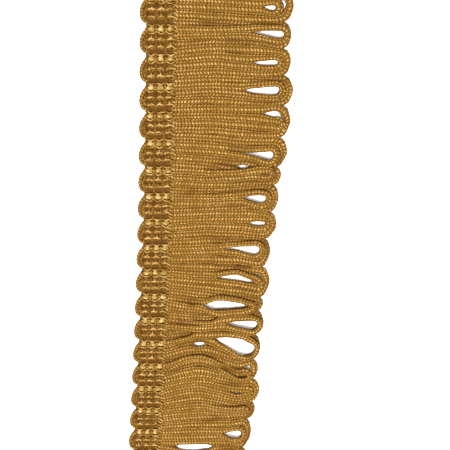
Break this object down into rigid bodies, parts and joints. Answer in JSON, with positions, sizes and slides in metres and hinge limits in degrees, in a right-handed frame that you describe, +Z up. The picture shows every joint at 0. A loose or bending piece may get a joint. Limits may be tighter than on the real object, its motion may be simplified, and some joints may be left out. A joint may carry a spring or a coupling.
{
  "type": "cord fringe trim",
  "caption": "Flat cord fringe trim: a ribbed knitted heading with a scalloped edge, carrying nested soft cord loops along its other edge.",
  "frame": {"origin": "on the flat back of the heading, in the middle of its width and length", "axes": "+X across the trim, from the heading towards the loops; +Y along the trim; +Z up out of the flat back"},
  "size_m": [0.049, 0.184, 0.0031],
  "materials": {
    "heading_yarn": "mustard gold knitted yarn with satin floats",
    "fringe_cord": "mustard gold soft knitted cord"
  },
  "bodies": {
    "root": {"heading": "heading_yarn", "fringe": "fringe_cord"}
  },
  "joints": []
}
